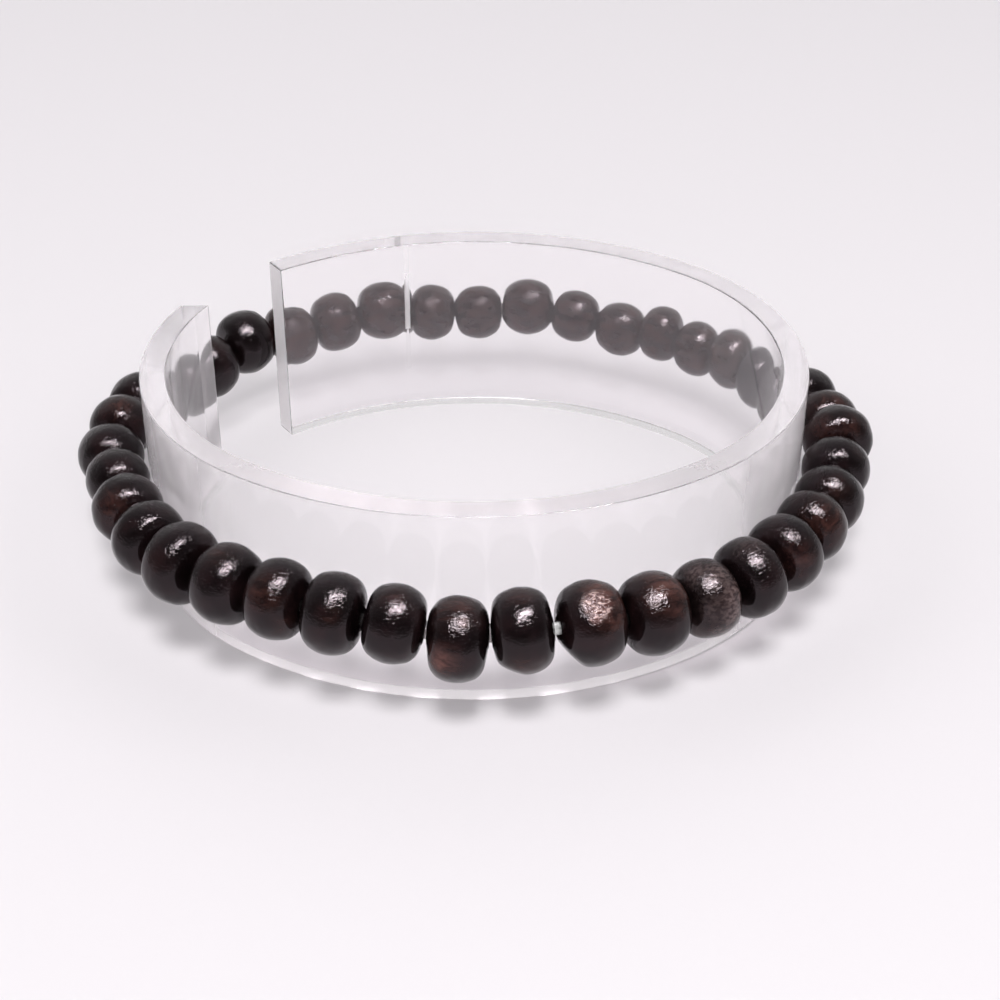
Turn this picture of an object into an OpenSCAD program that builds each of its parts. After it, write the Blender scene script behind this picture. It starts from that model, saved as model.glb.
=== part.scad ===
// Beaded bracelet on an open oval display ring.
// Millimetres, +Z up. The ring stands on z = 0 with its middle over the
// origin; the bracelet runs round the outside of its wall, half way up.

/* [Display ring] */
// Length of the clear ring, left to right
ring_l = 60; // [56:0.5:64]
// Width of the clear ring, front to back
ring_w = 50; // [49:0.5:52]
// Radius of the two round ends, outside
end_r = 22.5; // [22:0.1:23]
// Height of the ring's wall
ring_h = 19; // [16:0.5:24]
// Thickness of the ring's wall
wall_t = 2.3; // [1.8:0.1:3]

/* [Bracelet] */
// Height of the row of beads above the middle of the wall
row_up = 0; // [-1:0.1:2]
// Roundness of the bead flanks, 1 for a ball
flank = 0.9; // [0.8:0.05:1]
// Least radius of the flanks, as a share of the bead's length
barrel = 0.65; // [0.55:0.05:0.75]
// Radius of the slightly domed bead ends
dome_r = 10; // [8:1:12]
// Drilled hole through each bead
bore_d = 2; // [1.8:0.1:2.2]
// Clear elastic cord that carries the beads
cord_d = 1.2; // [0.8:0.1:1.3]
// Gap left between neighbouring beads
bead_gap = 0.14; // [0.1:0.02:0.3]

/* [Hidden] */
$fn = 64;

// The ring's outline is a four-centre oval: two end arcs about (+-end_c, 0)
// and two long arcs about (0, -+side_c), tangent where they meet.
half_l = ring_l / 2;
half_w = ring_w / 2;
end_c = half_l - end_r;
side_r = (end_c * end_c + half_w * half_w - end_r * end_r) / (2 * (half_w - end_r));
side_c = side_r - half_w;
end_a = atan2(side_c, end_c);          // half the angle of each end arc
side_a = 180 - 2 * end_a;              // the angle of each long arc

// Opening of the ring, rear left: where each cut crosses the wall.
cut_rear_a = 125;                      // square cut, by its angle on the rear arc
cut_left_y = 10;                       // cut straight across, at this depth

// Beads in order round the ring, anticlockwise seen from above, from the
// left-hand end on: along the front, up the right side and back along the
// rear. One row a bead: length along the cord, diameter, height of its
// middle above row_up, and how far it stands off the ring's wall.
LEN = 0; DIA = 1; UP = 2; OUT = 3;
beads = [
  //  len  dia    up   out
    [5.2, 6.1, -0.2, 0.40],
    [5.2, 6.1,  0.4, 0.25],
    [5.3, 6.1,  0.5, 0.40],
    [5.3, 5.8,  1.2, 0.06],
    [5.0, 6.4,  1.4, 0.06],
    [4.8, 6.7,  1.3, 0.20],
    [4.8, 7.2,  1.3, 0.15],
    [5.2, 7.0,  1.3, 0.15],
    [4.9, 6.9,  1.5, 0.15],
    [5.0, 7.0,  1.4, 0.15],
    [5.1, 6.7,  1.1, 0.15],
    [5.2, 7.2,  0.1, 0.15],
    [5.2, 7.2,  0.8, 0.15],
    [5.8, 7.2,  0.8, 0.15],
    [5.4, 7.1,  0.4, 0.15],
    [4.8, 6.8,  0.1, 0.15],
    [4.5, 7.1,  0.4, 0.10],
    [4.5, 6.9,  0.7, 0.10],
    [4.8, 6.5,  0.8, 0.15],
    [4.9, 6.3,  0.7, 0.20],
    [4.8, 6.3,  0.8, 0.06],
    [4.8, 6.6,  1.0, 0.20],
    [4.8, 6.2, -0.1, 0.50],
    [4.9, 6.3, -0.4, 0.25],
    [4.7, 6.2, -0.4, 0.30],
    [4.8, 6.1, -0.3, 0.20],
    [4.8, 5.6, -0.8, 0.15],
    [4.3, 5.7, -0.5, 0.15],
    [5.3, 5.5, -1.1, 0.15],
    [5.0, 5.4, -0.5, 0.15],
    [5.6, 5.8, -0.1, 0.15],
    [5.2, 5.6, -0.9, 0.15],
    [4.9, 5.8, -0.8, 0.15],
    [5.7, 6.0, -0.1, 0.15],
    [5.1, 6.1, -0.5, 0.15],
    [4.6, 6.0, -0.9, 0.15],
    [5.2, 6.5, -0.6, 0.15],
    [5.2, 6.4, -1.2, -0.35],
    [5.1, 6.3, -0.8, 0.10],
];
n_beads = len(beads);
slack_bead = 14;                       // the row is slack just before this bead,
slack = 0.2;                           // by this much, so that the cord shows
start_s = 87.1;                        // where bead 1 begins, along the oval
mean_off = 3.6;                        // the row's line outside the ring's face

// The row stands off more at some places than at others, so all parts are
// moved by this much to bring the whole thing's middle over the origin.
shift = [-0.2, 0.75];

function arc(r, a) = r * a * PI / 180;
function total(i = 0) = i >= n_beads ? 0 : beads[i][LEN] + total(i + 1);
function run(i) = i <= 0 ? 0 : beads[i - 1][LEN] + run(i - 1);

// The oval at distance s along the line that runs mean_off outside the
// ring's face: the centre of its arc, the arc's radius and the direction.
loop_l = 4 * arc(end_r + mean_off, end_a) + 2 * arc(side_r + mean_off, side_a);
function oval_at(s) =
    let (e = arc(end_r + mean_off, end_a), f = arc(side_r + mean_off, side_a),
         u = s - loop_l * floor(s / loop_l),
         ke = 180 / PI / (end_r + mean_off), kf = 180 / PI / (side_r + mean_off))
      u < e         ? [[end_c, 0], end_r, u * ke]
    : u < e + f     ? [[0, -side_c], side_r, end_a + (u - e) * kf]
    : u < 3 * e + f ? [[-end_c, 0], end_r, 180 - end_a + (u - e - f) * ke]
    : u < 3 * e + 2 * f ? [[0, side_c], side_r, 180 + end_a + (u - 3 * e - f) * kf]
    :                 [[end_c, 0], end_r, 360 - end_a + (u - 3 * e - 2 * f) * ke];
function place(s, off, z) =
    let (o = oval_at(s))
    [shift[0] + o[0][0] + (o[1] + off) * cos(o[2]),
     shift[1] + o[0][1] + (o[1] + off) * sin(o[2]), z];

function wrap(i) = (i + n_beads) % n_beads;
function row(i) = beads[wrap(i)];
function bead_s(i) = start_s + run(wrap(i)) * loop_l / total();
function bead_off(i) = row(i)[DIA] / 2 + row(i)[OUT];
mid_z = ring_h / 2 + row_up;

// Middle of each bead, and the joints: the points on the cord where one
// bead ends and the next begins. Joint i comes before bead i, half way
// between the two middles in height and in distance from the wall.
function middle(i) =
    place(bead_s(i) + row(i)[LEN] / 2 * loop_l / total(), bead_off(i), mid_z + row(i)[UP]);
function joint(i) =
    place(bead_s(i), (bead_off(i - 1) + bead_off(i)) / 2 + 0.1,
          mid_z + (row(i - 1)[UP] + row(i)[UP]) / 2);
joints = [for (i = [0:n_beads - 1]) joint(i)];

// A turned bead about the X axis: round flanks, cut to length by slightly
// domed ends. A long thin bead has flatter flanks, like a barrel: their arc's
// centre lies beyond the axis, so that outline is made of short chords.
module bead_blank(l, d) {
    flank_r = max(flank * d / 2, barrel * l);
    rotate([0, 90, 0])
    rotate_extrude()
    intersection() {
        if (flank_r < 0.98 * d / 2) union() {
            translate([d / 2 - flank_r, 0]) circle(r = flank_r);
            translate([0, -l / 2]) square([d / 2 - flank_r, l]);
        }
        else polygon([for (a = [-15:15])
            [max(0, d / 2 - flank_r * (1 - cos(5 * a))), flank_r * sin(5 * a)]]);
        translate([0, -d]) square([d, 2 * d]);
        translate([0, dome_r - l / 2]) circle(r = dome_r, $fn = 160);
        translate([0, l / 2 - dome_r]) circle(r = dome_r, $fn = 160);
    }
}

// Bead k of the row. Its body sits at its own middle, and its hole runs
// along the cord, so a bead can hang a little off the cord's line.
module bead(k) {
    m = middle(k - 1);
    a = joints[k - 1];
    b = joints[wrap(k)];
    v = b - a;
    c = (a + b) / 2;
    s = k == slack_bead ? slack : 0;
    turn = [0, -atan2(v[2], norm([v[0], v[1]])), atan2(v[1], v[0])];
    color("#241a19")
    difference() {
        translate(m) rotate(turn) translate([s / 2, 0, 0])
            bead_blank(norm(v) - bead_gap - s, row(k - 1)[DIA]);
        translate(c) rotate(turn) rotate([0, 90, 0])
            cylinder(d = bore_d, h = norm(v) + 2, center = true);
    }
}

module bead_01() { bead(1); }
module bead_02() { bead(2); }
module bead_03() { bead(3); }
module bead_04() { bead(4); }
module bead_05() { bead(5); }
module bead_06() { bead(6); }
module bead_07() { bead(7); }
module bead_08() { bead(8); }
module bead_09() { bead(9); }
module bead_10() { bead(10); }
module bead_11() { bead(11); }
module bead_12() { bead(12); }
module bead_13() { bead(13); }
module bead_14() { bead(14); }
module bead_15() { bead(15); }
module bead_16() { bead(16); }
module bead_17() { bead(17); }
module bead_18() { bead(18); }
module bead_19() { bead(19); }
module bead_20() { bead(20); }
module bead_21() { bead(21); }
module bead_22() { bead(22); }
module bead_23() { bead(23); }
module bead_24() { bead(24); }
module bead_25() { bead(25); }
module bead_26() { bead(26); }
module bead_27() { bead(27); }
module bead_28() { bead(28); }
module bead_29() { bead(29); }
module bead_30() { bead(30); }
module bead_31() { bead(31); }
module bead_32() { bead(32); }
module bead_33() { bead(33); }
module bead_34() { bead(34); }
module bead_35() { bead(35); }
module bead_36() { bead(36); }
module bead_37() { bead(37); }
module bead_38() { bead(38); }
module bead_39() { bead(39); }

// The cord: one closed loop, straight through each bead and bent at the
// joints, eight-sided.
module elastic_cord() {
    sides = 8;
    r = cord_d / 2;
    n = n_beads;
    // outward direction at each joint, square to the mean of the two runs
    function dir_at(i) =
        let (a = joints[wrap(i - 1)], b = joints[wrap(i + 1)],
             t = [b[0] - a[0], b[1] - a[1]] / norm([b[0] - a[0], b[1] - a[1]]))
        [t[1], -t[0], 0];
    pts = [for (i = [0:n - 1]) let (o = dir_at(i))
           for (j = [0:sides - 1]) let (q = 360 / sides * (j + 0.5))
           joints[i] + r * cos(q) * o + [0, 0, r * sin(q)]];
    faces = [for (i = [0:n - 1]) let (m = (i + 1) % n)
             for (j = [0:sides - 1]) let (k = (j + 1) % sides)
             each [[i * sides + j, i * sides + k, m * sides + k],
                   [i * sides + j, m * sides + k, m * sides + j]]];
    color("#e4e6ea", 0.5) polyhedron(points = pts, faces = faces, convexity = 8);
}

// The oval as a flat shape, drawn in from the outer face by d.
module oval(d) {
    for (s = [-1, 1]) translate([s * end_c, 0]) circle(r = end_r - d, $fn = 180);
    intersection() {
        translate([0, side_c]) circle(r = side_r - d, $fn = 240);
        translate([0, -side_c]) circle(r = side_r - d, $fn = 240);
        square([2 * (side_r - d) * cos(end_a), ring_w], center = true);
    }
}

// The ring's wall, opened at the rear left between its two cuts.
module display_ring() {
    function on_rear(r) = [r * cos(cut_rear_a), r * sin(cut_rear_a) - side_c];
    p_in = on_rear(side_r - 8);
    p_out = on_rear(side_r + 3);
    color("#e6ebee", 0.35)
    translate(shift)
    linear_extrude(height = ring_h)
    difference() {
        oval(0);
        oval(wall_t);
        polygon([[p_in[0], cut_left_y], p_in, p_out,
                 [-half_l - 3, p_out[1]], [-half_l - 3, cut_left_y]]);
    }
}

bead_01();
bead_02();
bead_03();
bead_04();
bead_05();
bead_06();
bead_07();
bead_08();
bead_09();
bead_10();
bead_11();
bead_12();
bead_13();
bead_14();
bead_15();
bead_16();
bead_17();
bead_18();
bead_19();
bead_20();
bead_21();
bead_22();
bead_23();
bead_24();
bead_25();
bead_26();
bead_27();
bead_28();
bead_29();
bead_30();
bead_31();
bead_32();
bead_33();
bead_34();
bead_35();
bead_36();
bead_37();
bead_38();
bead_39();
elastic_cord();
display_ring();
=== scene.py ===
import bpy, bmesh, math, random
from mathutils import Vector, Matrix, noise


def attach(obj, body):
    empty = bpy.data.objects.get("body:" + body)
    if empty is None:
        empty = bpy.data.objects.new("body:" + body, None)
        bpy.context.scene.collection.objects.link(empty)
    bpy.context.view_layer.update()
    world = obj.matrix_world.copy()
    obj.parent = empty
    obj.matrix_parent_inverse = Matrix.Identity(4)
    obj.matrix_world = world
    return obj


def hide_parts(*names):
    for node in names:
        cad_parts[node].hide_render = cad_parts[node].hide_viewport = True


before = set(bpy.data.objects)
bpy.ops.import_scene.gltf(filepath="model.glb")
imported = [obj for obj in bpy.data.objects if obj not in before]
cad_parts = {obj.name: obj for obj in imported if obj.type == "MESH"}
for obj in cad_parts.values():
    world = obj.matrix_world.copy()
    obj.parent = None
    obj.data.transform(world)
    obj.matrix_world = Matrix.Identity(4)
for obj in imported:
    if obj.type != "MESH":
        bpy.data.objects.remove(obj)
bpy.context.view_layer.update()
random.seed(7)
MM = 0.001

# ---------------------------------------------------------------- the row
# The same named sizes and table as the part's source, in millimetres.
RING_L, RING_W, END_R, RING_H, WALL_T = 60.0, 50.0, 22.5, 19.0, 2.3
SHIFT = (-0.2, 0.75)
CUT_REAR_A, CUT_LEFT_Y = 125.0, 10.0
FLANK, DOME_R, BORE_D, CORD_D, BEAD_GAP = 0.9, 10.0, 2.0, 1.2, 0.14
BARREL, START_S, MEAN_OFF = 0.65, 87.1, 3.6
BEADS = [  # length, diameter, height, off the wall
    (5.2, 6.1, -0.2, 0.40), (5.2, 6.1, 0.4, 0.25), (5.3, 6.1, 0.5, 0.40), (5.3, 5.8, 1.2, 0.06),
    (5.0, 6.4, 1.4, 0.06), (4.8, 6.7, 1.3, 0.20), (4.8, 7.2, 1.3, 0.15), (5.2, 7.0, 1.3, 0.15),
    (4.9, 6.9, 1.5, 0.15), (5.0, 7.0, 1.4, 0.15), (5.1, 6.7, 1.1, 0.15), (5.2, 7.2, 0.1, 0.15),
    (5.2, 7.2, 0.8, 0.15), (5.8, 7.2, 0.8, 0.15), (5.4, 7.1, 0.4, 0.15), (4.8, 6.8, 0.1, 0.15),
    (4.5, 7.1, 0.4, 0.10), (4.5, 6.9, 0.7, 0.10), (4.8, 6.5, 0.8, 0.15), (4.9, 6.3, 0.7, 0.20),
    (4.8, 6.3, 0.8, 0.06), (4.8, 6.6, 1.0, 0.20), (4.8, 6.2, -0.1, 0.50), (4.9, 6.3, -0.4, 0.25),
    (4.7, 6.2, -0.4, 0.30), (4.8, 6.1, -0.3, 0.20), (4.8, 5.6, -0.8, 0.15), (4.3, 5.7, -0.5, 0.15),
    (5.3, 5.5, -1.1, 0.15), (5.0, 5.4, -0.5, 0.15), (5.6, 5.8, -0.1, 0.15), (5.2, 5.6, -0.9, 0.15),
    (4.9, 5.8, -0.8, 0.15), (5.7, 6.0, -0.1, 0.15), (5.1, 6.1, -0.5, 0.15), (4.6, 6.0, -0.9, 0.15),
    (5.2, 6.5, -0.6, 0.15), (5.2, 6.4, -1.2, -0.35), (5.1, 6.3, -0.8, 0.10),
]
LEN, DIA, UP, OUT = 0, 1, 2, 3
SLACK_BEAD, SLACK = 14, 0.2      # the row is slack just before this bead
N = len(BEADS)
HALF_L, HALF_W = RING_L / 2, RING_W / 2
END_C = HALF_L - END_R
SIDE_R = (END_C ** 2 + HALF_W ** 2 - END_R ** 2) / (2 * (HALF_W - END_R))
SIDE_C = SIDE_R - HALF_W
END_A = math.degrees(math.atan2(SIDE_C, END_C))
SIDE_A = 180 - 2 * END_A
MID_Z = RING_H / 2


def arc(r, a):
    return r * math.radians(a)


TOTAL = sum(b[LEN] for b in BEADS)
LOOP_L = 4 * arc(END_R + MEAN_OFF, END_A) + 2 * arc(SIDE_R + MEAN_OFF, SIDE_A)


def oval_at(s):
    e, f = arc(END_R + MEAN_OFF, END_A), arc(SIDE_R + MEAN_OFF, SIDE_A)
    ke, kf = math.degrees(1 / (END_R + MEAN_OFF)), math.degrees(1 / (SIDE_R + MEAN_OFF))
    u = s % LOOP_L
    if u < e:
        return (END_C, 0), END_R, u * ke
    if u < e + f:
        return (0, -SIDE_C), SIDE_R, END_A + (u - e) * kf
    if u < 3 * e + f:
        return (-END_C, 0), END_R, 180 - END_A + (u - e - f) * ke
    if u < 3 * e + 2 * f:
        return (0, SIDE_C), SIDE_R, 180 + END_A + (u - 3 * e - f) * kf
    return (END_C, 0), END_R, 360 - END_A + (u - 3 * e - 2 * f) * ke


def place(s, off, z):
    c, r, a = oval_at(s)
    a = math.radians(a)
    return Vector((SHIFT[0] + c[0] + (r + off) * math.cos(a), SHIFT[1] + c[1] + (r + off) * math.sin(a), z))


def row(i):
    return BEADS[i % N]


def bead_s(i):
    return START_S + sum(b[LEN] for b in BEADS[:i % N]) * LOOP_L / TOTAL


def bead_off(i):
    return row(i)[DIA] / 2 + row(i)[OUT]


def middle(i):
    return place(bead_s(i) + row(i)[LEN] / 2 * LOOP_L / TOTAL, bead_off(i), MID_Z + row(i)[UP])


def joint(i):
    return place(bead_s(i), (bead_off(i - 1) + bead_off(i)) / 2 + 0.1, MID_Z + (row(i - 1)[UP] + row(i)[UP]) / 2)


JOINTS = [joint(i) for i in range(N)]

# ---------------------------------------------------------------- camera
FOCAL, DIST, ELEV, ROLL, OFF_X, OFF_Y = 1.958, 182.0, math.radians(33.07), math.radians(0.19), 0.0125, -0.0271
aim = Vector((SHIFT[0], SHIFT[1], MID_Z))
eye = aim + Vector((0, -DIST * math.cos(ELEV), DIST * math.sin(ELEV)))
fwd = (aim - eye).normalized()
right = Vector((1, 0, 0))
fwd = (fwd + OFF_X * right + OFF_Y * right.cross(fwd)).normalized()
right = fwd.cross(Vector((0, 0, 1))).normalized()
up = right.cross(fwd)
right, up = math.cos(ROLL) * right + math.sin(ROLL) * up, -math.sin(ROLL) * right + math.cos(ROLL) * up
cam_data = bpy.data.cameras.new("camera")
cam_data.sensor_width = 36.0
cam_data.sensor_fit = "HORIZONTAL"
cam_data.lens = FOCAL * 36.0
cam_data.shift_y = -0.001
cam_data.clip_start, cam_data.clip_end = 0.005, 20.0
cam = bpy.data.objects.new("camera", cam_data)
m = Matrix((right, up, -fwd)).transposed().to_4x4()
m.translation = eye * MM
cam.matrix_world = m
bpy.context.scene.collection.objects.link(cam)
bpy.context.scene.camera = cam


def ray(px, py):
    """Direction from the eye through a pixel of the 1000 x 1000 photograph."""
    return (fwd + right * (px - 500) / (FOCAL * 1000) + up * (499 - py) / (FOCAL * 1000)).normalized()


def pixel_x(p):
    """Column of a point in the 1000 x 1000 photograph."""
    d = p - eye
    return 500 + FOCAL * 1000 * d.dot(right) / d.dot(fwd)


# ---------------------------------------------------------------- helpers
def new_mesh(name, verts, faces, smooth=True):
    me = bpy.data.meshes.new(name)
    me.from_pydata([tuple(v) for v in verts], [], faces)
    me.validate()
    me.update()
    ob = bpy.data.objects.new(name, me)
    bpy.context.scene.collection.objects.link(ob)
    me.polygons.foreach_set("use_smooth", [smooth] * len(me.polygons))
    return ob


def put_float(me, name, values):
    a = me.attributes.new(name, "FLOAT", "POINT")
    a.data.foreach_set("value", values)


def put_vector(me, name, values):
    a = me.attributes.new(name, "FLOAT_VECTOR", "POINT")
    a.data.foreach_set("vector", [c for v in values for c in v])


def smoothstep(a, b, x):
    t = min(max((x - a) / (b - a), 0.0), 1.0)
    return t * t * (3 - 2 * t)


# ---------------------------------------------------------------- materials
class Tree:
    """Short names for building a node tree."""

    def __init__(self, mat):
        mat.use_nodes = True
        self.nt = mat.node_tree
        self.nt.nodes.clear()

    def add(self, kind, **sets):
        n = self.nt.nodes.new(kind)
        for k, v in sets.items():
            setattr(n, k, v)
        return n

    def link(self, a, b):
        self.nt.links.new(a, b)

    def attr(self, name, out="Fac"):
        n = self.add("ShaderNodeAttribute", attribute_name=name)
        return n.outputs[out]

    def math(self, op, a, b=None, c=None, clamp=False):
        n = self.add("ShaderNodeMath", operation=op, use_clamp=clamp)
        for i, v in enumerate((a, b, c)):
            if v is None:
                continue
            if isinstance(v, (int, float)):
                n.inputs[i].default_value = v
            else:
                self.link(v, n.inputs[i])
        return n.outputs[0]

    def ramp(self, fac, lo, hi, to_lo=0.0, to_hi=1.0):
        n = self.add("ShaderNodeMapRange", interpolation_type="SMOOTHSTEP")
        self.link(fac, n.inputs["Value"])
        n.inputs["From Min"].default_value, n.inputs["From Max"].default_value = lo, hi
        n.inputs["To Min"].default_value, n.inputs["To Max"].default_value = to_lo, to_hi
        return n.outputs["Result"]

    def mix(self, fac, a, b):
        n = self.add("ShaderNodeMix", data_type="RGBA")
        if isinstance(fac, (int, float)):
            n.inputs[0].default_value = fac
        else:
            self.link(fac, n.inputs[0])
        for v, s in ((a, n.inputs[6]), (b, n.inputs[7])):
            if isinstance(v, tuple):
                s.default_value = (*v, 1.0)
            else:
                self.link(v, s)
        return n.outputs[2]

    def scaled(self, vec, scale):
        n = self.add("ShaderNodeMapping")
        self.link(vec, n.inputs["Vector"])
        n.inputs["Scale"].default_value = scale
        return n.outputs["Vector"]

    def noise(self, vec, scale, detail=3.0, rough=0.55, distort=0.0):
        n = self.add("ShaderNodeTexNoise")
        self.link(vec, n.inputs["Vector"])
        n.inputs["Scale"].default_value = scale
        n.inputs["Detail"].default_value = detail
        n.inputs["Roughness"].default_value = rough
        n.inputs["Distortion"].default_value = distort
        return n.outputs["Fac"]

    def bump(self, height, strength, distance, normal=None):
        n = self.add("ShaderNodeBump")
        self.link(height, n.inputs["Height"])
        if isinstance(strength, (int, float)):
            n.inputs["Strength"].default_value = strength
        else:
            self.link(strength, n.inputs["Strength"])
        n.inputs["Distance"].default_value = distance
        if normal is not None:
            self.link(normal, n.inputs["Normal"])
        return n.outputs["Normal"]


def bead_material():
    mat = bpy.data.materials.new("bead_lacquered_wood")
    t = Tree(mat)
    pos = t.attr("bead_pos", "Vector")          # millimetres along, out and up, shifted bead by bead
    brown, worn, rub_and_highlight = t.attr("brown"), t.attr("worn"), t.attr("rub_and_highlight")
    tone, craze = t.attr("tone"), t.attr("craze")
    grain = t.noise(t.scaled(pos, (0.40, 1.3, 1.3)), 1.0, 3.0, 0.55, 0.6)
    fine = t.noise(t.scaled(pos, (1.8, 3.2, 3.2)), 1.0, 3.0, 0.6, 0.3)
    cloud = t.noise(pos, 0.38, 2.0, 0.5, 0.2)
    # colour: black-brown stain, redder where the stain is thin, greyer where worn
    dark = t.mix(t.ramp(cloud, 0.35, 0.70), (0.0035, 0.0020, 0.0022), (0.0085, 0.0045, 0.0052))
    own = t.math("MULTIPLY", tone, t.ramp(cloud, 0.48, 0.74), clamp=True)
    col = t.mix(own, dark, (0.0145, 0.0062, 0.0064))
    red = t.mix(t.ramp(grain, 0.30, 0.70), (0.020, 0.0068, 0.0058), (0.112, 0.045, 0.036))
    col = t.mix(t.math("MULTIPLY", brown, t.ramp(fine, 0.25, 0.55, 0.70, 1.1), clamp=True), col, red)
    ash = t.mix(t.ramp(fine, 0.36, 0.66), (0.058, 0.035, 0.035), (0.150, 0.104, 0.100))
    col = t.mix(t.math("MULTIPLY", worn, t.ramp(fine, 0.30, 0.60, 0.45, 1.0), clamp=True), col, ash)
    # rubbed spots under the highlights: the lacquer is wrinkled there, and its pale colour is a painted highlight
    specks = t.noise(t.scaled(pos, (1.9, 3.4, 3.4)), 1.0, 2.0, 0.55, 1.0)
    pale = t.mix(t.ramp(specks, 0.46, 0.62), (0.085, 0.033, 0.028), (0.620, 0.440, 0.415))
    col = t.mix(t.ramp(rub_and_highlight, 0.30, 0.75), col, pale)
    bsdf = t.add("ShaderNodeBsdfPrincipled")
    t.link(col, bsdf.inputs["Base Color"])
    rough = t.math("ADD", t.ramp(fine, 0.3, 0.7, 0.085, 0.14), t.math("MULTIPLY", worn, 0.13))
    t.link(rough, bsdf.inputs["Roughness"])
    bsdf.inputs["IOR"].default_value = 1.5
    bsdf.inputs["Specular IOR Level"].default_value = 0.32
    bsdf.inputs["Specular Tint"].default_value = (1.0, 0.87, 0.93, 1.0)
    # lacquer: long soft waves, and small crinkles where it is crazed
    waves = t.noise(t.scaled(pos, (0.7, 0.5, 0.5)), 1.0, 1.0, 0.5, 0.0)
    n1 = t.bump(waves, 1.0, 0.00006)
    crinkle = t.noise(t.scaled(pos, (3.2, 4.4, 4.4)), 1.0, 2.0, 0.5, 1.0)
    n2 = t.bump(crinkle, craze, 0.00005, n1)
    n3 = t.bump(specks, rub_and_highlight, 0.00018, n2)
    t.link(n3, bsdf.inputs["Normal"])
    out = t.add("ShaderNodeOutputMaterial")
    t.link(bsdf.outputs[0], out.inputs["Surface"])
    return mat


def clear_material(name, color, pale, ior, rough, film, shade):
    """Clear plastic under a thin film of dust. "rim" marks the satin edges; its pale cover, raised at the front, is
    also painted light for the glow the wall carries down. "sawn" is 1 where it is matt, and on the cord it marks a
    whitish spot of painted light. "haze_and_sheen" marks milky scuffs, and on the turned-away sides a painted sheen.

    The lamps shine straight through. "foot" is 1 under the wall, where the wall brings light down.
    """
    mat = bpy.data.materials.new(name)
    t = Tree(mat)
    sawn, rim, foot, haze_and_sheen = t.attr("sawn"), t.attr("rim"), t.attr("foot"), t.attr("haze_and_sheen")
    bsdf = t.add("ShaderNodeBsdfPrincipled")
    t.link(t.mix(t.math("ADD", rim, t.math("ADD", sawn, haze_and_sheen), clamp=True), color, pale), bsdf.inputs["Base Color"])
    bsdf.inputs["IOR"].default_value = ior
    bsdf.inputs["Specular Tint"].default_value = (1.0, 0.945, 0.995, 1.0)
    geo = t.add("ShaderNodeNewGeometry")
    marks = t.noise(geo.outputs["Position"], 220.0, 3.0, 0.6, 0.4)
    dust = t.ramp(marks, 0.30, 0.80, film * 0.7, film * 1.4)
    streaks = t.noise(t.scaled(geo.outputs["Position"], (90.0, 160.0, 40.0)), 1.0, 2.0, 0.5, 0.8)
    # pale cover: milky haze at the left-hand end, a painted sheen on the turned-away sides
    milky = t.math("MULTIPLY", haze_and_sheen, t.ramp(streaks, 0.30, 0.70, 0.34, 0.62))
    cover = t.math("MULTIPLY_ADD", rim, 0.30, t.math("MULTIPLY_ADD", sawn, 0.62, milky))
    cover = t.math("ADD", dust, cover, clamp=True)
    t.link(t.math("SUBTRACT", 1.0, cover), bsdf.inputs["Transmission Weight"])
    satin = t.math("MULTIPLY_ADD", rim, 0.14, t.math("MULTIPLY_ADD", sawn, 0.40, t.math("MULTIPLY", haze_and_sheen, 0.08)))
    t.link(t.math("ADD", t.ramp(marks, 0.35, 0.8, rough, rough + 0.05), satin), bsdf.inputs["Roughness"])
    wave = t.noise(t.scaled(geo.outputs["Position"], (70.0, 70.0, 22.0)), 1.0, 2.0, 0.5, 0.2)
    t.link(t.bump(wave, 0.05, 0.0004), bsdf.inputs["Normal"])
    clear = t.add("ShaderNodeBsdfTransparent")
    t.link(t.mix(foot, shade, (9.0, 8.55, 8.85)), clear.inputs["Color"])
    path = t.add("ShaderNodeLightPath")
    mixer = t.add("ShaderNodeMixShader")
    t.link(path.outputs["Is Shadow Ray"], mixer.inputs[0])
    t.link(bsdf.outputs[0], mixer.inputs[1])
    t.link(clear.outputs[0], mixer.inputs[2])
    out = t.add("ShaderNodeOutputMaterial")
    t.link(mixer.outputs[0], out.inputs["Surface"])
    return mat


BEAD_MAT = bead_material()
RING_MAT = clear_material("clear_acrylic", (0.993, 0.980, 0.990), (0.975, 0.940, 0.960), 1.49, 0.06, 0.012, (0.995, 0.99, 0.995))
# the elastic's dark grey base colour is painted shade, standing in for the dark bead holes it runs through
CORD_MAT = clear_material("clear_elastic", (0.34, 0.31, 0.31), (0.90, 0.91, 0.90), 1.46, 0.12, 0.03, (0.8, 0.8, 0.8))

# ---------------------------------------------------------------- display ring
EDGE = 0.12       # rounding of the polished edges, in the wall's own thickness
SEAM_X = 408      # a fine upright groove on the rear wall's inner face, by its column in the photograph


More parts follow.
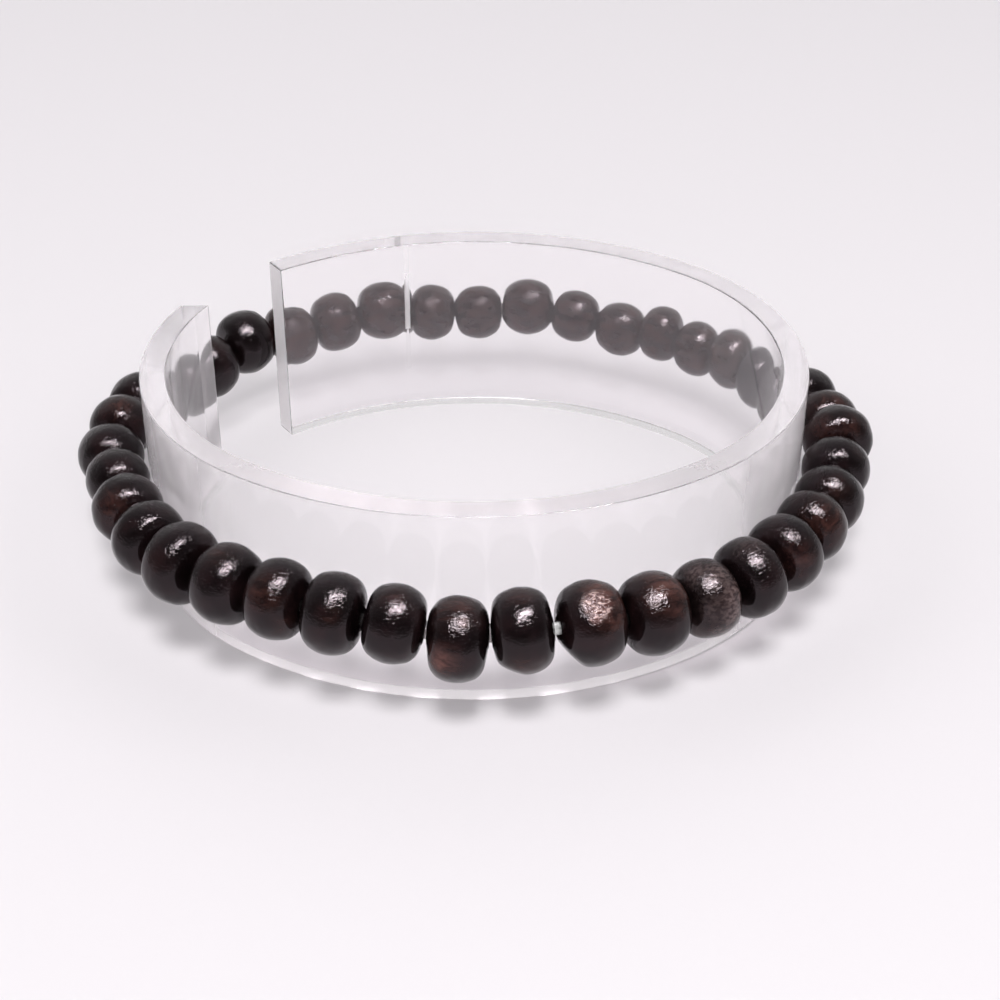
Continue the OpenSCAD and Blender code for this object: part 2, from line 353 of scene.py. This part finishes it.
def wall_profile():
    """(inset, height) round the wall's section, with rounded corners."""
    pts = []
    corners = [(EDGE, EDGE, 180), (EDGE, RING_H - EDGE, 90), (WALL_T - EDGE, RING_H - EDGE, 0), (WALL_T - EDGE, EDGE, -90)]
    for k, (ci, cz, a0) in enumerate(corners):
        # walk round: outer bottom, outer top, inner top, inner bottom
        start = {0: 270, 1: 180, 2: 90, 3: 0}[k]
        for j in range(5):
            a = math.radians(start - 22.5 * j)
            pts.append((ci + EDGE * math.cos(a), cz + EDGE * math.sin(a)))
        # rows along the flats, close together near the corners, so that shading stays even
        if k in (0, 2):
            za, zb = (EDGE, RING_H - EDGE) if k == 0 else (RING_H - EDGE, EDGE)
            ins = 0.0 if k == 0 else WALL_T
            for w in (0.003, 0.02, 0.10, 0.16, 0.25, 0.5, 0.75, 0.84, 0.90, 0.98, 0.997):
                pts.append((ins, za + (zb - za) * w))
        else:
            ia, ib = (EDGE, WALL_T - EDGE) if k == 1 else (WALL_T - EDGE, EDGE)
            z = RING_H if k == 1 else 0.0
            for w in (0.03, 0.15, 0.5, 0.85, 0.97):
                pts.append((ia + (ib - ia) * w, z))
    return pts


def seam_angle():
    best = min(range(int(END_A * 50), int(CUT_REAR_A * 50)), key=lambda k: abs(pixel_x(Vector((
        SHIFT[0] + (SIDE_R - WALL_T) * math.cos(math.radians(k / 50)),
        SHIFT[1] - SIDE_C + (SIDE_R - WALL_T) * math.sin(math.radians(k / 50)), MID_Z))) - SEAM_X))
    return best / 50


SEAM_A = seam_angle()


def ring_path(inset, deep):
    """Points round the wall at one inset, from the rear cut clockwise to the left-hand cut, the groove at its depth."""
    out = []

    def run(c, r, a0, a1, n, last=False, groove=None):
        steps = [(a0 + (a1 - a0) * j / n, 0.0) for j in range(n + (1 if last else 0))]
        if groove is not None:
            w = math.degrees(0.28 / r)
            steps = [s_ for s_ in steps if abs(s_[0] - groove) > 2.5 * w]
            steps += [(groove + k * w, d) for k, d in ((-2, 0.0), (-1, 0.0), (-0.5, 0.07), (0, 0.12), (0.5, 0.07), (1, 0.0), (2, 0.0))]
            steps.sort(reverse=True)
        for a, d in steps:
            a = math.radians(a)
            q = r - inset + d * deep * inset / WALL_T
            out.append((SHIFT[0] + c[0] + q * math.cos(a), SHIFT[1] + c[1] + q * math.sin(a)))

    run((0, -SIDE_C), SIDE_R, CUT_REAR_A, END_A, 110, groove=SEAM_A)
    run((END_C, 0), END_R, END_A, -END_A, 130)
    run((0, SIDE_C), SIDE_R, -END_A, -180 + END_A, 110)
    end = -180 - math.degrees(math.asin(CUT_LEFT_Y / (END_R - inset)))
    run((-END_C, 0), END_R, -180 + END_A, end, 96, last=True)
    return out


def build_ring():
    prof = wall_profile()
    # the groove is deepest at half height and above, and fades out downwards
    paths = [ring_path(i, smoothstep(5, 10, z) * (1 - 0.7 * smoothstep(15, 18, z))) for i, z in prof]
    k, n = len(prof), len(paths[0])
    verts = [(paths[j][i][0] * MM, paths[j][i][1] * MM, prof[j][1] * MM) for i in range(n) for j in range(k)]
    faces = []
    for i in range(n - 1):
        for j in range(k):
            a, b = i * k + j, i * k + (j + 1) % k
            faces.append((a, b, b + k, a + k))
    faces.append(tuple(reversed(range(k))))
    faces.append(tuple((n - 1) * k + j for j in range(k)))
    ob = new_mesh("ring_wall", verts, faces)
    bm = bmesh.new()
    bm.from_mesh(ob.data)
    bmesh.ops.recalc_face_normals(bm, faces=bm.faces)
    caps = [f for f in bm.faces if len(f.verts) == k]
    rim = [e for f in caps for e in f.edges]
    bmesh.ops.bevel(bm, geom=rim, offset=0.12 * MM, segments=2, profile=0.7, affect="EDGES", clamp_overlap=True)
    bm.to_mesh(ob.data)
    bm.free()
    me = ob.data
    me.polygons.foreach_set("use_smooth", [len(p.vertices) < 10 for p in me.polygons])
    sawn = me.attributes.new("sawn", "FLOAT", "FACE")
    seam = Vector((math.cos(math.radians(SEAM_A)), math.sin(math.radians(SEAM_A)))) * (SIDE_R - WALL_T)
    seam += Vector((SHIFT[0], SHIFT[1] - SIDE_C))

    def sawn_at(p):
        if len(p.vertices) > 10 and p.center.y > 0.015:
            return 1.0
        near = (Vector(p.center[:2]) / MM - seam).length
        z = p.center.z / MM
        fade = smoothstep(6, 11, z) * (1 - 0.5 * smoothstep(13, 16, z))
        return 0.8 * fade if near < 0.26 and abs(p.normal.z) < 0.3 else 0.0

    sawn.data.foreach_set("value", [sawn_at(p) for p in me.polygons])

    # top faces get a satin cover that is whiter towards the front, and bottom faces a pale cover at the front only;
    # past the real satin, this extra whiteness is painted light for the glow the wall carries down to its foot
    def rim_and_glow_at(p):
        x, y, _ = p.center
        if p.normal.z > 0.95:
            return 0.35 + 0.55 * smoothstep(0.005, -0.020, y)
        return 1.7 * smoothstep(-0.002, -0.016, y) if p.normal.z < -0.95 else 0.0

    def haze_and_sheen_at(p):
        x, y, _ = p.center
        if abs(p.normal.z) > 0.3:
            return 0.0
        # the wall gets a pale cover where it turns away at both sides, a painted sheen for the light it reflects and
        # gathers there, and a little milky haze at its left-hand end
        if p.normal.x * x + p.normal.y * y > 0:
            return smoothstep(0.018, 0.027, abs(x)) * smoothstep(0.006, -0.002, y)
        return 0.35 * smoothstep(-0.020, -0.026, x) * smoothstep(-0.002, 0.004, y)

    def foot_at(p):
        front = smoothstep(-0.002, -0.019, p.center.y)
        if p.normal.z < -0.5:
            return 0.02 + 0.03 * front
        if p.normal.x * p.center.x + p.normal.y * p.center.y > 0 and abs(p.normal.z) < 0.3:
            return front * (0.8 if p.center.z < 0.002 else 0.40 * smoothstep(0.0052, 0.002, p.center.z))
        return 0.0

    rim = me.attributes.new("rim", "FLOAT", "FACE")
    rim.data.foreach_set("value", [rim_and_glow_at(p) for p in me.polygons])
    haze_and_sheen = me.attributes.new("haze_and_sheen", "FLOAT", "FACE")
    haze_and_sheen.data.foreach_set("value", [haze_and_sheen_at(p) for p in me.polygons])
    foot = me.attributes.new("foot", "FLOAT", "FACE")
    foot.data.foreach_set("value", [foot_at(p) for p in me.polygons])
    ob.data.materials.append(RING_MAT)
    ob.visible_diffuse = False
    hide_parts("display_ring")
    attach(ob, "root")
    return ob


build_ring()

# ---------------------------------------------------------------- beads
SEGS = 84
# Where the stain is thin or worn, and where rubbed lacquer carries a painted highlight: bead, pixel, reach in mm,
# strength.
BROWN = [
    (12, 440, 664, 1.15, 0.95), (12, 455, 606, 1.5, 0.45),
    (13, 526, 668, 1.2, 0.30), (13, 523, 594, 1.2, 0.2),
    (9, 262, 592, 1.5, 0.3), (9, 285, 628, 1.2, 0.2), (8, 222, 550, 1.1, 0.3), (11, 395, 594, 1.1, 0.2),
    (14, 606, 590, 1.5, 0.9), (14, 613, 616, 1.3, 0.5), (14, 590, 585, 0.9, 0.5),
    (15, 669, 586, 1.8, 0.9), (15, 678, 604, 1.2, 0.45), (15, 648, 600, 1.3, 0.1),
    (16, 700, 640, 1.6, 0.35), (10, 327, 614, 0.8, 0.25),
    (18, 800, 560, 1.5, 0.3), (19, 828, 520, 1.8, 0.45), (5, 112, 505, 1.5, 0.3), (2, 119, 404, 1.3, 0.4),
    (23, 831, 404, 1.5, 0.5), (22, 822, 428, 1.3, 0.35), (22, 850, 426, 1.2, 0.3), (20, 838, 486, 1.2, 0.2),
]
WORN = [
    (16, 735, 594, 1.3, 1.0), (16, 736, 614, 1.2, 0.9), (16, 728, 630, 1.2, 0.7), (16, 718, 574, 1.4, 0.75),
    (16, 696, 572, 1.1, 0.5), (16, 706, 643, 0.9, 0.40), (16, 718, 606, 1.5, 0.30), (17, 750, 545, 1.2, 0.3),
]
# rubbed, wrinkled lacquer on the highlights of beads 12, 14 and 15, painted pale as a highlight
RUB_AND_HIGHLIGHT = [
    (14, 598, 603, 1.45, 1.0), (14, 596, 617, 0.8, 0.8), (12, 463, 622, 0.9, 0.55), (15, 657, 600, 0.5, 0.15),
]
# Flats left by turning: bead, two pixels on the straight outline (cut away on the left of the way from first to second).
FLATS = [
    (13, 496, 666, 520, 676), (14, 557, 643, 580, 665),
]


def bead_profile(l, d):
    """(along, radius, weight) from inside the bore round the outside and back, closed."""
    fr = max(FLANK * d / 2, BARREL * l)
    h = l / 2
    rb = BORE_D / 2

    def radius(u):
        a = (d / 2 - fr) + math.sqrt(max(fr * fr - u * u, 0.0)) if abs(u) < fr else d / 2 - fr
        b = math.sqrt(max(DOME_R ** 2 - (abs(u) + DOME_R - h) ** 2, 0.0))
        return min(a, b), a, b

    # where flank and domed end meet
    lo, hi = 0.0, h
    for _ in range(40):
        mid = (lo + hi) / 2
        _, a, b = radius(mid)
        if a < b:
            lo = mid
        else:
            hi = mid
    ue, re = lo, radius(lo)[0]
    pts = []
    # flank, first end to last, with the corner rounded by blending
    soft = 0.60
    flank = []
    steps = 34
    for i in range(steps + 1):
        u = -ue + soft * 0.9 + (2 * ue - 1.8 * soft) * i / steps
        flank.append((u, radius(u)[1]))

    def corner(sign):
        a = Vector((sign * (ue - soft * 0.9), radius(ue - soft * 0.9)[1]))
        rr = re - soft
        ub = h - DOME_R + math.sqrt(DOME_R ** 2 - rr ** 2)
        b = Vector((sign * ub, rr))
        c = Vector((sign * ue, re))
        out = []
        for j in range(1, 6):
            t = j / 6
            out.append((1 - t) ** 2 * a + 2 * t * (1 - t) * c + t * t * b)
        return a, b, out

    a1, b1, cs = corner(-1)
    a2, b2, ce = corner(1)
    sink = 0.06          # the hole's mouth is barely broken

    def end_points(sign, b):
        out = []
        for j in range(0, 6):
            r = b[1] + (rb + sink - b[1]) * j / 5
            out.append((sign * (h - DOME_R + math.sqrt(DOME_R ** 2 - r * r)), r))
        out.append((sign * (h - sink * 0.45), rb + sink * 0.35))
        out.append((sign * (h - sink * 1.2), rb))
        return out

    seq = []
    first = end_points(-1, b1)
    seq += list(reversed(first))
    seq += [tuple(p) for p in reversed(cs)]
    seq += flank
    seq += [tuple(p) for p in ce]
    seq += end_points(1, b2)
    for j in range(1, 5):
        u = (h - sink * 1.2) * (1 - 2 * j / 5)
        seq.append((u, rb))
    return seq, re


def build_bead(k):
    i = k - 1
    a, b = JOINTS[i], JOINTS[(i + 1) % N]
    axis = (b - a).normalized()
    centre = middle(i)
    chord_mid = (a + b) / 2
    slack = SLACK if k == SLACK_BEAD else 0.0
    centre += axis * slack / 2
    l, d = (b - a).length - BEAD_GAP - slack, row(i)[DIA]
    side = axis.cross(Vector((0, 0, 1))).normalized()
    if side.dot(centre - Vector((SHIFT[0], SHIFT[1], MID_Z))) < 0:
        side = -side
    lift = side.cross(axis).normalized()
    if lift.z < 0:
        lift = -lift
    off = chord_mid - centre
    off -= axis * off.dot(axis)
    prof, re = bead_profile(l, d)
    rb = BORE_D / 2
    rng = random.Random(100 + k)
    seed = Vector((rng.uniform(-50, 50), rng.uniform(-50, 50), rng.uniform(-50, 50)))
    lump = 0.05 + 0.03 * rng.random()
    tone = rng.random()
    hits = {"brown": [], "worn": [], "rub_and_highlight": []}
    for name, table in (("brown", BROWN), ("worn", WORN), ("rub_and_highlight", RUB_AND_HIGHLIGHT)):
        for kk, px, py, reach, amount in table:
            if kk != k:
                continue
            w = ray(px, py)
            oc = eye - centre
            R = d / 2
            bq = oc.dot(w)
            disc = bq * bq - (oc.length_squared - R * R)
            p = eye + w * (-bq - math.sqrt(disc)) if disc > 0 else eye + w * (-bq)
            if disc <= 0:
                p = centre + (p - centre).normalized() * R
            hits[name].append((p, reach, amount))
    base_brown = 0.24 if 26 <= k <= 36 else 0.0                    # the rear beads are a little browner all over
    flats = []
    for kk, x0, y0, x1, y1 in FLATS:
        if kk == k:
            n = ray(x0, y0).cross(ray(x1, y1)).normalized()
            if n.dot(centre - eye) > 0:
                n = -n
            flats.append(n)
    verts, pos, brown, worn, rub_and_highlight, craze = [], [], [], [], [], []
    crazed = 0.85 + 0.15 * smoothstep(-12.0, -24.0, centre.y)      # the front beads' lacquer is wrinkled most
    if k == 13:
        crazed *= 0.6
    for (u, r) in prof:
        outer = smoothstep(rb + 0.1, re, r)
        for j in range(SEGS):
            q = 2 * math.pi * j / SEGS
            dirn = side * math.cos(q) + lift * math.sin(q)
            p = centre + axis * u + off * (1 - outer) + dirn * r
            nz = noise.noise((p - centre) * 0.55 + seed)
            nz2 = noise.noise((p - centre) * 1.5 + seed * 1.3)
            p -= (p - centre - axis * u * 0.6).normalized() * outer * (lump * (0.5 + nz) + 0.018 * (0.5 + nz2))
            for n in flats:
                dd = (p - eye).dot(n)
                over = dd + 0.40
                if over > 0:
                    p -= n * (over - 0.40 * (1 - math.exp(-over / 0.40)))
            rel = p - centre
            verts.append(p * MM)
            pos.append(Vector((rel.dot(axis), rel.dot(side), rel.dot(lift))) + seed)
            for name, dest in (("brown", brown), ("worn", worn), ("rub_and_highlight", rub_and_highlight)):
                val = base_brown if name == "brown" else 0.0
                for c, reach, amount in hits[name]:
                    val = max(val, amount * math.exp(-((p - c).length / reach) ** 2))
                dest.append(val if outer > 0 else 0.0)
            high = (rel.dot(lift) + 0.35 * (-rel.y)) / (d / 2)
            craze.append(0.03 + 0.97 * crazed * smoothstep(0.45, 0.85, high))
    k_n = len(prof)
    faces = []
    for a_ in range(k_n):
        b_ = (a_ + 1) % k_n
        for j in range(SEGS):
            jj = (j + 1) % SEGS
            faces.append((a_ * SEGS + j, b_ * SEGS + j, b_ * SEGS + jj, a_ * SEGS + jj))
    ob = new_mesh("bead_%02d_turned" % k, verts, faces)
    bm = bmesh.new()
    bm.from_mesh(ob.data)
    bmesh.ops.recalc_face_normals(bm, faces=bm.faces)
    bm.to_mesh(ob.data)
    bm.free()
    me = ob.data
    put_vector(me, "bead_pos", pos)
    put_float(me, "brown", brown)
    put_float(me, "worn", worn)
    put_float(me, "rub_and_highlight", rub_and_highlight)
    put_float(me, "craze", craze)
    put_float(me, "tone", [(0.25 + 0.75 * tone) * (1.6 if 26 <= k <= 36 else 1.0)] * len(verts))
    me.materials.append(BEAD_MAT)
    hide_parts("bead_%02d" % k)
    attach(ob, "root")
    return ob, centre


rear_beads = []
for k in range(1, N + 1):
    piece, centre_ = build_bead(k)
    if k >= 24:
        rear_beads.append(piece)

# ---------------------------------------------------------------- cord
def build_cord():
    """Doubled clear elastic through all the beads: two strands side by side, one above the other."""
    pts = []
    for i in range(N):
        p0, p, p1 = JOINTS[i - 1], JOINTS[i], JOINTS[(i + 1) % N]
        for t in (-0.30, -0.15, 0.0, 0.15, 0.30):
            # rounds the corner inside the gap between two beads
            q = p + ((p1 - p) if t > 0 else (p - p0)).normalized() * t
            q += ((p0 - p).normalized() + (p1 - p).normalized()) * 0.12 * (0.3 - abs(t))
            pts.append(q)
    sides, verts, faces = 12, [], []
    n = len(pts)
    r = CORD_D / 4 * 0.97
    for strand in (-1, 1):
        base = len(verts)
        for i in range(n):
            tan = (pts[(i + 1) % n] - pts[i - 1]).normalized()
            out = tan.cross(Vector((0, 0, 1))).normalized()
            upv = out.cross(tan)
            mid = pts[i] + upv * strand * CORD_D / 4
            for j in range(sides):
                q = 2 * math.pi * (j + 0.5) / sides
                verts.append((mid + out * r * math.cos(q) + upv * r * math.sin(q)) * MM)
        for i in range(n):
            m_ = (i + 1) % n
            for j in range(sides):
                jj = (j + 1) % sides
                faces.append((base + i * sides + j, base + i * sides + jj, base + m_ * sides + jj, base + m_ * sides + j))
    ob = new_mesh("cord_loop", verts, faces)
    bm = bmesh.new()
    bm.from_mesh(ob.data)
    bmesh.ops.recalc_face_normals(bm, faces=bm.faces)
    bm.to_mesh(ob.data)
    bm.free()
    me = ob.data
    # painted light: whitish where it shows lit between beads 13 and 14, clear elsewhere
    lit_joint = JOINTS[13] * MM
    put_float(me, "sawn", [0.9 * math.exp(-((v.co - lit_joint).length / (1.6 * MM)) ** 2) for v in me.vertices])
    me.materials.append(CORD_MAT)
    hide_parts("elastic_cord")
    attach(ob, "root")


build_cord()

# ---------------------------------------------------------------- floor
def build_floor():
    n, half = 24, 0.45
    verts = [(-half + 2 * half * i / n, -half + 2 * half * j / n, -0.00004) for j in range(n + 1) for i in range(n + 1)]
    faces = [(j * (n + 1) + i, j * (n + 1) + i + 1, (j + 1) * (n + 1) + i + 1, (j + 1) * (n + 1) + i)
             for j in range(n) for i in range(n)]
    ob = new_mesh("floor", verts, faces)
    mat = bpy.data.materials.new("pale_floor")
    t = Tree(mat)
    bsdf = t.add("ShaderNodeBsdfPrincipled")
    bsdf.inputs["Base Color"].default_value = (0.800, 0.768, 0.795, 1.0)
    bsdf.inputs["Roughness"].default_value = 0.55
    bsdf.inputs["Specular IOR Level"].default_value = 0.2
    out = t.add("ShaderNodeOutputMaterial")
    t.link(bsdf.outputs[0], out.inputs["Surface"])
    ob.data.materials.append(mat)


build_floor()


# ---------------------------------------------------------------- light
def area(name, loc, target, size, power, color=(1, 1, 1), glossy=True):
    d = bpy.data.lights.new(name, "AREA")
    d.shape = "RECTANGLE"
    d.size, d.size_y = size
    d.energy = power
    d.color = color
    o = bpy.data.objects.new(name, d)
    o.location = loc
    o.rotation_euler = (Vector(target) - Vector(loc)).to_track_quat("-Z", "Y").to_euler()
    o.visible_glossy = glossy
    o.visible_transmission = glossy
    o.visible_camera = False
    bpy.context.scene.collection.objects.link(o)
    return o


# the lamp that shines on the lacquer, then the key lamp in two parts and three soft panels that light the scene
gleam = area("gleam_overhead", (0.045, -0.090, 0.40), (0.0, 0.0, 0.0), (0.26, 0.07), 4.9)
gleam.visible_diffuse = False
area("key_shadowed", (0.0, -0.55, 0.98), (0.0, 0.0, 0.0), (0.25, 0.22), 2.3, glossy=False)
key = area("key_front", (0.0, -0.55, 0.98), (0.0, 0.0, 0.0), (0.25, 0.22), 5.7, glossy=False)
for name_, x_, y_, power_ in (("panel_front", 0.0, -0.95, 4.1),
                              ("panel_left", -0.95, -0.25, 2.0), ("panel_right", 0.95, -0.25, 2.0)):
    area(name_, (x_, y_, 0.75), (0.0, 0.0, 0.0), (0.8, 0.8), power_, (1.0, 0.985, 0.995), glossy=False)
# the clear wall breaks the key light up before it reaches the rear beads, so most of it throws no shadow there
pass_by = bpy.data.collections.new("no_key_shadow")
for piece in rear_beads:
    pass_by.objects.link(piece)
key.light_linking.blocker_collection = pass_by
for entry in pass_by.collection_objects:
    entry.light_linking.link_state = "EXCLUDE"

world = bpy.data.worlds.new("studio")
bpy.context.scene.world = world
world.use_nodes = True
wt = world.node_tree
wt.nodes.clear()
tc = wt.nodes.new("ShaderNodeTexCoord")
sep = wt.nodes.new("ShaderNodeSeparateXYZ")
wt.links.new(tc.outputs["Generated"], sep.inputs[0])
# dark room behind the camera, pale wall behind the object
half = wt.nodes.new("ShaderNodeMath")
half.operation = "MULTIPLY_ADD"
half.inputs[1].default_value, half.inputs[2].default_value = 0.5, 0.5
wt.links.new(sep.outputs["Y"], half.inputs[0])
cr = wt.nodes.new("ShaderNodeValToRGB")
wt.links.new(half.outputs[0], cr.inputs[0])
stops = cr.color_ramp.elements
stops[0].position, stops[0].color = 0.0, (0.06, 0.059, 0.06, 1)
stops[1].position, stops[1].color = 0.92, (0.72, 0.71, 0.715, 1)
for where, v in ((0.22, 0.075), (0.50, 0.24)):
    e_ = stops.new(where)
    e_.color = (v, v * 0.985, v * 0.995, 1)
# the pale table runs on to the horizon and fades upwards
low = wt.nodes.new("ShaderNodeMapRange")
low.interpolation_type = "SMOOTHSTEP"
wt.links.new(sep.outputs["Z"], low.inputs["Value"])
for name_, v in (("From Min", -0.05), ("From Max", 0.40), ("To Min", 0.62), ("To Max", 0.0)):
    low.inputs[name_].default_value = v
lift_ = wt.nodes.new("ShaderNodeMix")
lift_.data_type = "RGBA"
lift_.blend_type = "LIGHTEN"
lift_.inputs[0].default_value = 1.0
wt.links.new(cr.outputs[0], lift_.inputs[6])
wt.links.new(low.outputs["Result"], lift_.inputs[7])
bg = wt.nodes.new("ShaderNodeBackground")
wt.links.new(lift_.outputs[2], bg.inputs["Color"])
bg.inputs["Strength"].default_value = 1.0
wo = wt.nodes.new("ShaderNodeOutputWorld")
wt.links.new(bg.outputs[0], wo.inputs["Surface"])

sc = bpy.context.scene
sc.view_settings.view_transform = "Standard"
sc.view_settings.look = "None"
sc.view_settings.exposure = 0.0
sc.cycles.use_denoising = True
sc.cycles.caustics_refractive = False
sc.cycles.caustics_reflective = False
sc.cycles.max_bounces = 24
sc.cycles.transmission_bounces = 20
sc.cycles.transparent_max_bounces = 24
sc.cycles.glossy_bounces = 8
sc.cycles.diffuse_bounces = 4
